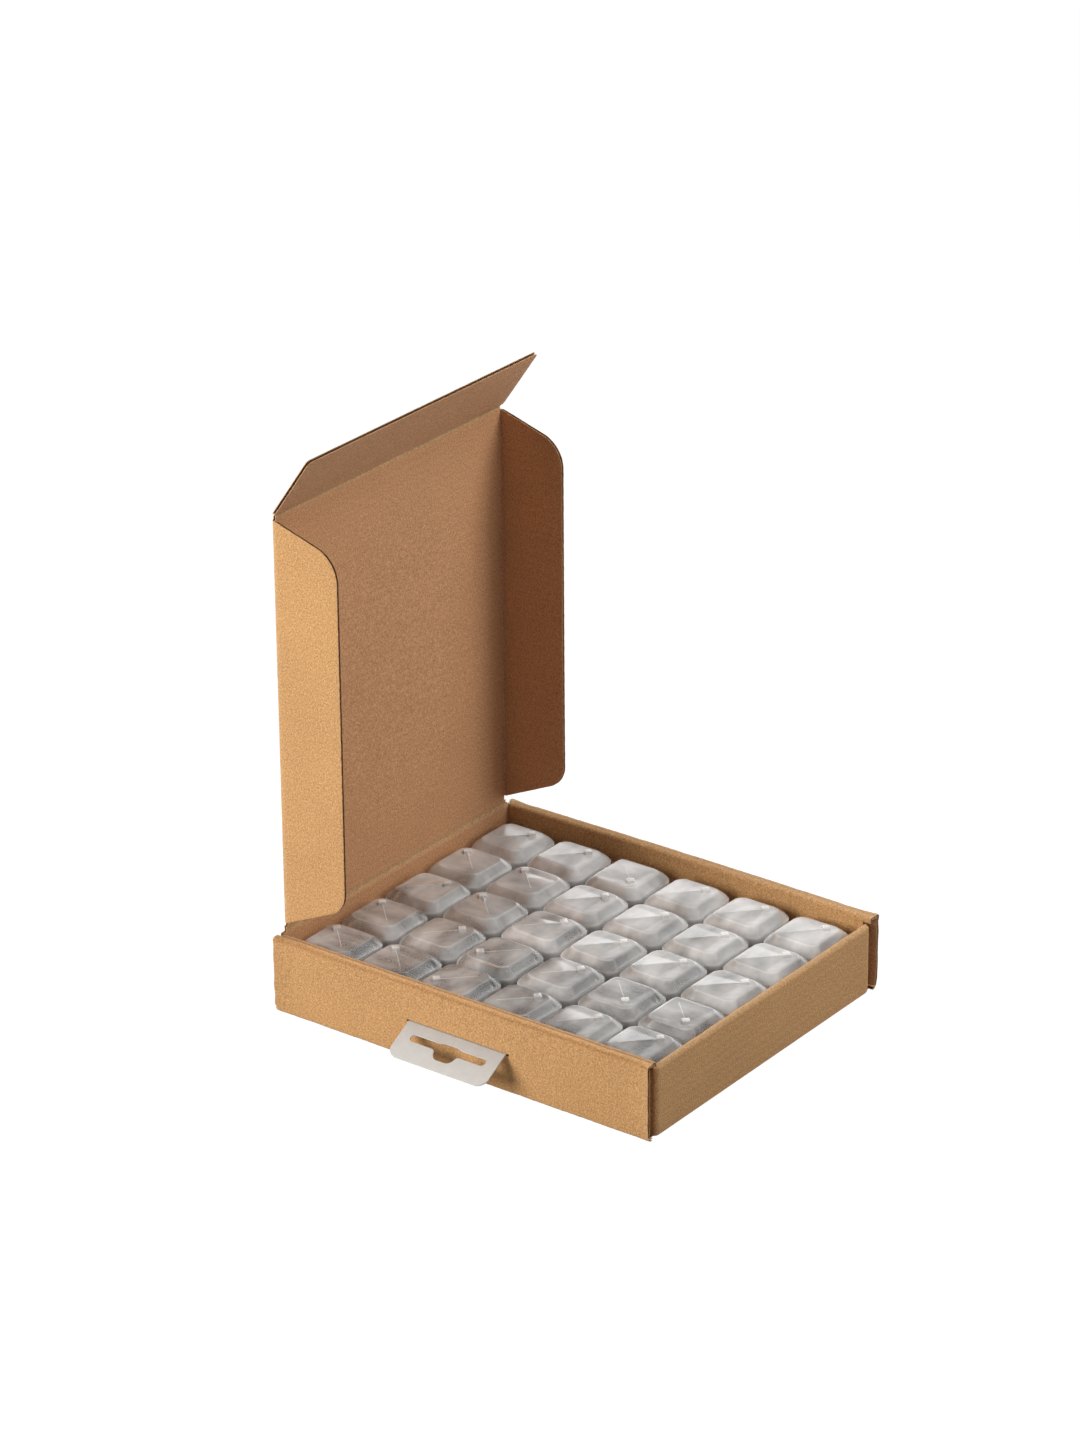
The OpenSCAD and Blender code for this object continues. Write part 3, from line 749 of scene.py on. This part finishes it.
def milky(name, colour, milk, edge, rough, haze, smear=0.0, spread=0.0):
    """Thin polypropylene as seen through both faces: partly see-through, partly milky, more so
    at grazing angles, where the first number of "board" says that the sheet is thick, and by
    the spread times its second number, the piece's x place: painted light, which makes pieces
    further right milkier and paler, those to the left clearer and darker. Smears stretch
    along the piece, under a gloss with
    fine rubs. The attribute "seat" is taken off the place, so that a pattern stays the
    piece's own wherever it stands. Past five clear faces the plastic counts as milky."""
    material = bpy.data.materials.new(name)
    tree = blank(material)
    own = tree.nodes.new("ShaderNodeVectorMath")
    own.operation = "SUBTRACT"
    here = tree.nodes.new("ShaderNodeTexCoord").outputs["Object"]
    feed(tree, own, [here, attribute(tree, "seat")])
    place = own.outputs[0]
    relief = add(tree.nodes, "ShaderNodeBump", Strength=0.10, Distance=0.0002)
    tree.links.new(noise(tree, place, 110.0, 2.0), relief.inputs["Height"])
    thick, painted_light_x, _ = numbers(tree, attribute(tree, "board"))
    layer = add(tree.nodes, "ShaderNodeLayerWeight", Blend=0.5)
    graze = maths(tree, "POWER", layer.outputs["Facing"], 3.0)
    part = maths(tree, "MULTIPLY_ADD", graze, edge, milk)
    part = maths(tree, "MULTIPLY_ADD", thick, 0.55, part)
    part = swing(tree, noise(tree, place, 260.0, 4.0), 0.25, part, clamp=True)
    flow = add(tree.nodes, "ShaderNodeMapping", Scale=(1.0, 0.45, 1.0))
    tree.links.new(place, flow.inputs["Vector"])
    each = tree.nodes.new("ShaderNodeObjectInfo")
    tree.links.new(maths(tree, "MULTIPLY", each.outputs["Random"], 7.0), flow.inputs["Location"])
    # Painted light: the milk grows with the piece's x place.
    part = maths(tree, "MULTIPLY_ADD", painted_light_x, spread, part)
    part = swing(tree, noise(tree, flow.outputs[0], 130.0, 2.0, 0.4), smear, part, clamp=True)
    path = tree.nodes.new("ShaderNodeLightPath")
    deep = maths(tree, "GREATER_THAN", path.outputs["Transparent Depth"], 5.0)
    part = maths(tree, "MULTIPLY_ADD", deep, path.outputs["Is Camera Ray"], part, clamp=True)
    through = add(tree.nodes, "ShaderNodeBsdfTransparent", Color=(0.95, 0.94, 0.925, 1))
    body = add(tree.nodes, "ShaderNodeBsdfDiffuse", Color=(*colour, 1))
    glow = add(tree.nodes, "ShaderNodeBsdfTranslucent", Color=(*colour, 1))
    gloss = add(tree.nodes, "ShaderNodeBsdfAnisotropic", Color=(1, 1, 1, 1))
    rubs = maths(tree, "MULTIPLY_ADD", noise(tree, place, 300.0, 5.0), haze, rough)
    tree.links.new(rubs, gloss.inputs["Roughness"])
    fresnel = add(tree.nodes, "ShaderNodeFresnel", IOR=1.50)
    for shader in (gloss, fresnel):
        tree.links.new(relief.outputs["Normal"], shader.inputs["Normal"])
    last = None
    shine = maths(tree, "MULTIPLY_ADD", fresnel.outputs[0], 1.8, 0.02, clamp=True)
    for factor, first, second in ((0.2, body, glow), (part, through, None), (shine, None, gloss)):
        mix = tree.nodes.new("ShaderNodeMixShader")
        feed(tree, mix, [factor, (first or last).outputs[0], (second or last).outputs[0]])
        last = mix
    tree.links.new(last.outputs[0], add(tree.nodes, "ShaderNodeOutputMaterial").inputs[0])
    return material


tab_plastic = milky("tab_plastic", (0.80, 0.78, 0.75), 0.82, 0.1, 0.25, 0.15)
TAB_T, TAB_LEN, TAB_HW = 0.5, 14.7, 20.75  # thickness, length and half width of the tab, mm
DROOP = math.radians(28)                   # how far the tab hangs below level
HANG_X = -HW - 0.5                         # the tab turns about this line outside the slit, mm


def rounded(u, c, mid, half_u, half_c, r):
    """Signed distance to a rounded rectangle centred at u = mid, c = 0, below zero inside."""
    qu, qc = np.abs(u - mid) - half_u + r, np.abs(c) - half_c + r
    return np.hypot(np.maximum(qu, 0), np.maximum(qc, 0)) + np.minimum(np.maximum(qu, qc), 0) - r


def slot_distance(u, c):
    """Signed distance to the hanging slot joined smoothly to its round hook notch."""
    a, b = rounded(u, c, 5.6, 1.5, 16.0, 1.5), rounded(u, c, 7.2, 3.5, 4.5, 2.9)
    soft = 1.6
    h = np.clip(0.5 + 0.5 * (b - a) / soft, 0, 1)
    return b * (1 - h) + a * h - soft * h * (1 - h)


def tab_distance(u, c):
    """Signed distance to the tab's outline less its slot: below zero in the sheet. The outline
    is a rounded rectangle whose inner corners would lie inside the wall."""
    half_long = 12.15
    return np.maximum(rounded(u, c, TAB_LEN - half_long, half_long, TAB_HW, 4.0), -slot_distance(u, c))


u, c = np.arange(0.45, 15.0, 0.27), np.linspace(-21.0, 21.0, 160)
U, C = grid(u, c)
sheet = tab_distance((U[1:, 1:] + U[:-1, :-1]) / 2, (C[1:, 1:] + C[:-1, :-1]) / 2) < 0
count = sum(np.pad(sheet, ((i, 1 - i), (j, 1 - j))).astype(int) for i in (0, 1) for j in (0, 1))
for _ in range(3):  # the sheet's border points slide down the distance to the true outline
    d = tab_distance(U, C)
    du, dc = (tab_distance(U + 0.01, C) - d) / 0.01, (tab_distance(U, C + 0.01) - d) / 0.01
    step = np.where((count > 0) & (count < 4) & (U > 0.46), d, 0) / np.maximum(du * du + dc * dc, 0.2)
    U, C = U - step * du, C - step * dc


def tab_place(u, c, n):
    """Sheet that droops from the slit by the droop angle and curls down from it by the square
    of the distance."""
    n = n - 0.25 * (u / TAB_LEN) ** 2
    return np.stack([HANG_X - u * math.cos(DROOP) - n * math.sin(DROOP), c,
                     SLIT_Z - u * math.sin(DROOP) + n * math.cos(DROOP)], -1)


upper, under = (tab_place(U, C, np.full(U.shape, n)) for n in (TAB_T / 2, -TAB_T / 2))
points, quads = slab(upper, under, sheet)
tab = piece("hang_tab_sheet", [(points, outward(points, quads), 0, points * 0)], [tab_plastic])
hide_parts("hang_tab")
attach(tab, "hang")
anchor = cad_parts["hang_tab_anchor"]
anchor.data.materials.clear()
anchor.data.materials.append(tab_plastic)
fold = folded([(-HANG_X - 0.05, SLIT_Z), (-HANG_X + 0.3, SLIT_Z),
               (-HANG_X + 0.3 + 0.55 * math.cos(DROOP), SLIT_Z - 0.55 * math.sin(DROOP))], [0.5])
U, C = grid(np.linspace(0, fold[3], 9), np.linspace(-TAB_HW + 0.05, TAB_HW - 0.05, 30))
(upper_x, upper_z), (under_x, under_z) = (on_path(fold, U, n) for n in (0.12, -0.12))
points, quads = slab(np.stack([-upper_x, C, upper_z], -1), np.stack([-under_x, C, under_z], -1),
                     np.ones((8, 29), bool))
hang_crease = piece("hang_tab_crease", [(points, outward(points, quads), 0, points * 0)], [tab_plastic])
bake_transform(hang_crease)

# ---- cases -------------------------------------------------------------------
# Thirty square clear cases with press-on caps: thin walls, rounded corners, a
# sloping shoulder, a square nub to pull by and a rib along the cap's diagonal.

# The last number, 3.0, is the spread of painted light: cases to the right are milkier and paler, those to the
# left clearer and darker.
case_plastic = milky("case_plastic", (0.95, 0.93, 0.91), 0.27, 0.36, 0.13, 0.12, 1.0, 3.0)
CUP_TOP = 17.0   # height of the cap's seat on the cup, mm
CAP_TOP = 6.4    # height of the cap's top over its seat, mm
ROUND = 0.40     # corner radius of a case as a share of its half width


def loft(profile, tilt=None):
    """Closed surface of rounded squares: each ring is the unit rounded square times a half
    width at a height, and the two ends close on a small square. A third number in the
    profile says how thick the wall looks there; tilt(x, y, z) is added to the height."""
    corner = np.radians(np.linspace(0, 90, 10))
    quarter = np.stack([1 - ROUND + ROUND * np.cos(corner), 1 - ROUND + ROUND * np.sin(corner)], -1)
    side = np.linspace(1 - ROUND, ROUND - 1, 14)[1:-1]
    quarter = np.concatenate([quarter, np.stack([side, np.ones(12)], -1)])
    turn = np.array([[0, -1], [1, 0]], float)
    ring = np.concatenate([quarter @ np.linalg.matrix_power(turn, -k) for k in range(4)])
    ring = ring[np.argsort(np.arctan2(ring[:, 1], ring[:, 0]))]
    half, z, thick = np.array([(*p, 0)[:3] for p in profile], float).T
    n, m = len(z), len(ring)
    points = np.empty((n, m, 3))
    points[..., :2] = half[:, None, None] * ring
    points[..., 2] = z[:, None]
    if tilt is not None:
        points[..., 2] += tilt(points[..., 0], points[..., 1], points[..., 2])
    ids = np.arange(n * m).reshape(n, m)
    nxt = np.roll(ids, -1, axis=1)
    quads = [np.stack([ids[:-1], nxt[:-1], nxt[1:], ids[1:]], -1).reshape(-1, 4)]
    k = np.arange(m // 2 - 1)
    for row in (ids[0], ids[-1][::-1]):
        quads.append(np.stack([row[k], row[m - 1 - k], row[m - 2 - k], row[k + 1]], -1))
    return points.reshape(-1, 3), np.concatenate(quads), np.repeat(thick, m)[:, None] * (1.0, 0.0, 0.0)


# Half width, height and how thick the wall looks, from the middle of the underside round
# the rim and back to the middle of the inside.
cup_inside = [(11.3, 2.2, 0.3), (11.1, 1.4), (10.6, 0.95), (9.8, 0.8), (5, 0.8), (0.3, 0.8)]
cup_outside = [(0.3, 0), (6, 0), (10.4, 0.05), (11.3, 0.25, 1), (11.8, 0.75, 1), (12.02, 1.5, 0.5),
               (12.1, 6, 0.5), (12.2, 15.4, 0.5), (12.2, 16.6, 0.6)]
cup_profile = cup_outside + [(12.1, 16.85, 1), (11.5, 16.85, 1), (11.4, 16.6, 0.5), (11.35, 8, 0.5)]
cup_profile += cup_inside
cap_shell = [(h, CAP_TOP, 0.45) for h in (0.3, *np.arange(0.8, 9.1, 0.4))]
cap_shell += [(8.8 + 3.4 * math.sin(t) ** 1.65, 3.1 + 3.3 * math.cos(t) ** 1.65,
               0.6 * math.cos(2 * t) ** 6 + 0.2) for t in np.radians(np.arange(6, 91, 6))]
cap_shell += [(12.2, 0.5, 0.3), (12.14, 0.25, 1)]
cap_plug = [(11.9, 0.18, 1), (11.3, 0.2, 1), (11.22, 0.0, 1), (11.22, -1.8, 1), (11.1, -2.0, 1),
            (10.5, -2.0, 1), (10.4, -1.8, 1), (10.4, 3.0, 1), (10.2, 3.5, 1), (8.9, 4.9, 0.7),
            (8.5, 5.3, 0.3), (8.1, 5.5), (7.6, 5.6), *[(h, 5.6) for h in (6, 4, 2, 0.3)]]
seam = [(12.05, 16.9, 1), (12.05, 17.1, 1)]
whole_profile = cup_outside + seam + [(h, z + CUP_TOP, thick) for h, z, thick in cap_shell[::-1]]
hollow_profile = [(h, 22.6) for h in (0.3, 1.6, 3.2, 4.8, 6.4, 7.6)]
hollow_profile += [(8.1, 22.55), (8.5, 22.3), (8.9, 21.95, 0.2), (10.9, 19.95, 0.3), (11.2, 19.4, 0.5),
                   (11.35, 18, 0.6), (11.35, 8, 0.6)]
hollow_profile += cup_inside


def folds_of(strength, spread):
    """Shallow tent on the cap's top: it rises towards the diagonal through the nub, falls off
    to nothing at the spread angle on both sides, and fades out at the shoulder."""
    def tilt(x, y, z):
        along, aside = 7 - (x + y) / math.sqrt(2), (x - y) / math.sqrt(2)
        fan = np.abs(aside) / np.maximum(along, 0.3) / math.tan(math.radians(spread))
        inside = np.clip((9.3 - np.maximum(np.abs(x), np.abs(y))) / 1.2, 0, 1)
        on_top = (z > 5.5) * ((z < 7) | (z > 22.5))
        return strength * np.clip(1 - fan, 0, 1) ** 1.1 * np.clip(along / 6, 0, 1) * inside * on_top
    return tilt


def bar(a, b, width, z0, z1):
    """Small square bar with bevelled top edges along the diagonal from a to b."""
    along = np.array([a, a + 0.15, a + 0.35, b - 0.35, b - 0.15, b])
    aside = np.array([-0.5, -0.46, -0.3, 0.3, 0.46, 0.5]) * width
    A, S = grid(along, aside)
    end_drop = np.clip(0.35 - np.minimum(A - a, b - A), 0, 1)
    side_drop = np.clip(0.2 - (width / 2 - np.abs(S)), 0, 1)
    x, y = (A - S) / math.sqrt(2), (A + S) / math.sqrt(2)
    upper = np.stack([x, y, z1 - 0.6 * np.maximum(end_drop, side_drop)], -1)
    points, quads = slab(upper, np.stack([x, y, np.full(A.shape, z0)], -1), np.ones((5, 5), bool))
    return points, quads, np.tile((1.0, 0.0, 0.0), (len(points), 1))


def closed(surface, inward=False):
    """One closed surface of a clear piece, turned to face outward, or inward for a hollow."""
    points, quads, thick = surface
    quads = outward(points, quads)
    return points, quads[:, ::-1] if inward else quads, 0, thick


def capped(profile, seat, strength, spread):
    """A shell with its folded top, and its nub and rib, which stand on the top over the seat."""
    top = seat + CAP_TOP
    return [closed(surface) for surface in (
        loft(profile, folds_of(strength, spread)), bar(5.7, 8.3, 2.7, top - 0.1, top + 1.3),
        bar(-7.5, 6.0, 0.3, top - 0.05, top + 0.12 + strength))]


def stand(mesh, x, y, z, angle):
    """Turns the mesh about the vertical and moves it to its place, in millimetres. The attribute
    "seat" keeps how far each point went, and the second number of "board" keeps x, from which
    the plastic paints light: milkier and paler to the right."""
    before, after, marks = (np.empty(len(mesh.vertices) * 3, np.float32) for _ in range(3))
    mesh.vertices.foreach_get("co", before)
    mesh.transform(Matrix.Translation((x / 1000, y / 1000, z / 1000)) @ Matrix.Rotation(angle, 4, "Z"))
    mesh.vertices.foreach_get("co", after)
    mesh.attributes.new("seat", "FLOAT_VECTOR", "POINT").data.foreach_set("vector", after - before)
    grain = mesh.attributes["board"].data
    grain.foreach_get("vector", marks)
    # x is kept for the plastic's painted light.
    marks[1::3] = x / 1000
    grain.foreach_set("vector", marks)
    mesh.update()


kinds = [(0.55, 46), (0.70, 38), (0.40, 55)]  # strength in mm and spread in degrees of the folded top
quarter_turns = [[3, 2, 3, 3, 3], [3, 2, 3, 3, 3], [3, 3, 3, 3, 3],
                 [1, 1, 3, 3, 2], [0, 3, 0, 0, 3], [0, 0, 3, 0, 3]]
PITCH_X, PITCH_Y = 25.1, 25.8  # spacing of the cases, mm
FIRST_Y = -62.95               # middle of the front row, mm
cup = [closed(loft(cup_profile))]
hollow = [closed(loft(hollow_profile, folds_of(*kind)), inward=True) for kind in kinds]
sway = np.random.default_rng(5).uniform(-1, 1, (6, 5, 3))
for row in range(6):
    for col in range(5):
        number = (row * 3 + col * 2) % 3
        if row == 0:
            cap = capped(cap_shell + cap_plug, 0, *kinds[number])
            jobs = [("case", cup), ("cap", [(p + (0, 0, CUP_TOP), *rest) for p, *rest in cap])]
        else:
            jobs = [("case", [hollow[number]] + capped(whole_profile, CUP_TOP, *kinds[number]))]
        dx, dy, turn = sway[row, col] * (0.15, 0.25, 0.012)
        if row == 0:
            dy = abs(dy)
        for what, parts in jobs:
            name = f"{what}_{row + 1}_{col + 1}"
            made = piece(name + "_clear", parts, [case_plastic])
            stand(made.data, (col - 2) * PITCH_X + dx, FIRST_Y + row * PITCH_Y + dy, 1.6,
                  math.radians(90 * quarter_turns[row][col]) + turn)
            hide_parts(name)
            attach(made, name)

# ---- floor, light and camera -------------------------------------------------
# A plain white floor and backdrop that is bright low down and darker above, a
# soft lamp from the left and a little behind, a fill from the front right, a
# small one from above, and the camera over the corner of the front and left walls.

bpy.ops.mesh.primitive_plane_add(size=60, location=(0, 0, -0.0002))
ground = bpy.context.object
ground.name = "ground"
white = bpy.data.materials.new("ground_white")
tree = blank(white)
diffuse = add(tree.nodes, "ShaderNodeBsdfDiffuse", Color=(0.46, 0.46, 0.46, 1))
glow = add(tree.nodes, "ShaderNodeEmission", Color=(1, 1, 1, 1), Strength=1.24)
mixed = tree.nodes.new("ShaderNodeMixShader")
path = tree.nodes.new("ShaderNodeLightPath")
seen = maths(tree, "MAXIMUM", path.outputs["Is Camera Ray"], path.outputs["Is Transmission Ray"])
seen = maths(tree, "MAXIMUM", seen, path.outputs["Is Glossy Ray"])
feed(tree, mixed, [maths(tree, "MULTIPLY", seen, 0.80), diffuse.outputs[0], glow.outputs[0]])
tree.links.new(mixed.outputs[0], add(tree.nodes, "ShaderNodeOutputMaterial").inputs[0])
ground.data.materials.append(white)
ground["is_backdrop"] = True

world = bpy.data.worlds.new("backdrop")
bpy.context.scene.world = world
tree = blank(world)
path = tree.nodes.new("ShaderNodeLightPath")
eastward, _, upward = numbers(tree, tree.nodes.new("ShaderNodeTexCoord").outputs["Generated"])
band = tree.nodes.new("ShaderNodeMapRange")
band.interpolation_type = "SMOOTHSTEP"
for key, value in (("From Min", 0.430), ("From Max", 0.490), ("To Min", 1.5), ("To Max", 0.35)):
    band.inputs[key].default_value = value
tree.links.new(upward, band.inputs["Value"])
seen = maths(tree, "MAXIMUM", path.outputs["Is Camera Ray"], path.outputs["Is Transmission Ray"])
mirrored = maths(tree, "MULTIPLY", path.outputs["Is Glossy Ray"], band.outputs[0])
ambient = maths(tree, "MULTIPLY_ADD", eastward, 0.06, 0.10)
strength = maths(tree, "MAXIMUM", maths(tree, "MAXIMUM", seen, mirrored), ambient)
sky = add(tree.nodes, "ShaderNodeBackground", Color=(1, 1, 1, 1))
tree.links.new(strength, sky.inputs["Strength"])
tree.links.new(sky.outputs[0], add(tree.nodes, "ShaderNodeOutputWorld").inputs[0])


def lamp(name, place, target, size, watts, tint=(1, 1, 1)):
    """Square area lamp at a place, turned to face the target."""
    light = bpy.data.lights.new(name, "AREA")
    light.size, light.energy, light.color = size, watts, tint
    made = bpy.data.objects.new(name, light)
    bpy.context.scene.collection.objects.link(made)
    back = np.array(place) - np.array(target)
    made.location = place
    made.rotation_euler = Vector(tuple(back)).to_track_quat("Z", "Y").to_euler()
    return made


for light in (lamp("key", (-0.80, 0.42, 0.36), (0, 0, 0.06), 0.50, 9.8, (1.0, 0.98, 0.95)),
              lamp("fill", (0.45, -0.80, 0.42), (0, 0, 0.08), 0.4, 2.5),
              lamp("top", (0.22, -0.24, 0.66), (0, 0.03, 0.05), 0.4, 2.9)):
    light.visible_glossy = False  # the plastic mirrors the backdrop alone

camera = bpy.data.objects.new("camera", bpy.data.cameras.new("camera"))
bpy.context.scene.collection.objects.link(camera)
camera.data.sensor_width = 36
camera.data.lens = 128.241  # mm
camera.data.clip_start, camera.data.clip_end = 0.05, 100
ahead, right, up = (0.72661, 0.54457, -0.4189), (0.5971, -0.80214, -0.00707), (0.33987, 0.24499, 0.908)
turned = Matrix([right, up, [-v for v in ahead]]).transposed().to_4x4()
turned.translation = (-1.2928, -0.95345, 0.84733)
camera.matrix_world = turned
bpy.context.scene.camera = camera
bpy.context.scene.view_settings.view_transform = "Standard"

low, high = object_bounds()
